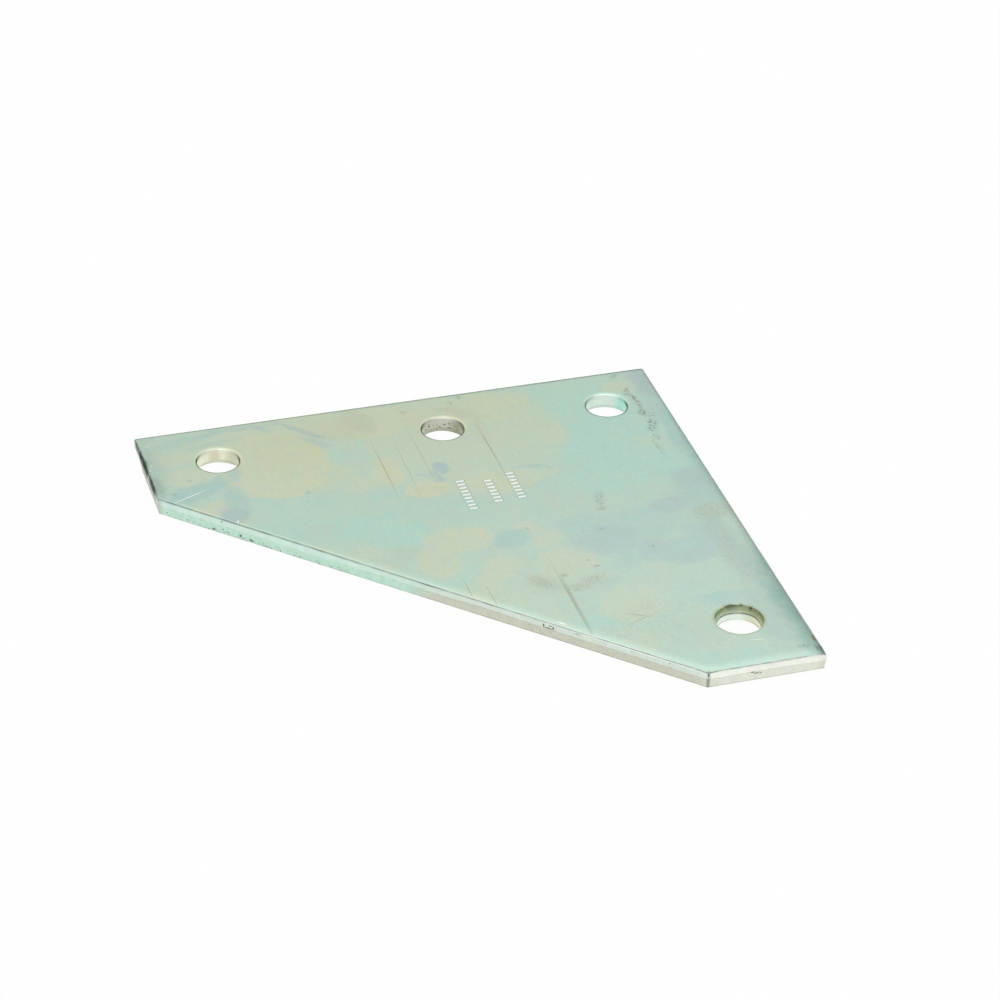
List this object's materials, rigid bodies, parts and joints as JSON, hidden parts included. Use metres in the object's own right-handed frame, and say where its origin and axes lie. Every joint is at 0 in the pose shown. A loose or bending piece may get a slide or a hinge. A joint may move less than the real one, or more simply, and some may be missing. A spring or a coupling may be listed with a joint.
{
  "type": "flat corner brace",
  "caption": "Flat steel gusset plate that ties two framing channels at a right angle, with a slanted inner edge, round bolt holes and a bright zinc finish.",
  "frame": {"origin": "axis of the corner bolt hole, at the height of the plate's flat back", "axes": "+X along the long leg, +Y along the short leg, +Z out of the face with the rolled edge; the plate lies on its back at z = 0"},
  "size_m": [0.1841, 0.1778, 0.0063],
  "materials": {
    "zinc_plate": "bright zinc plating with a clear, slightly iridescent passivation"
  },
  "bodies": {
    "root": {"corner_plate": "zinc_plate"}
  },
  "joints": []
}
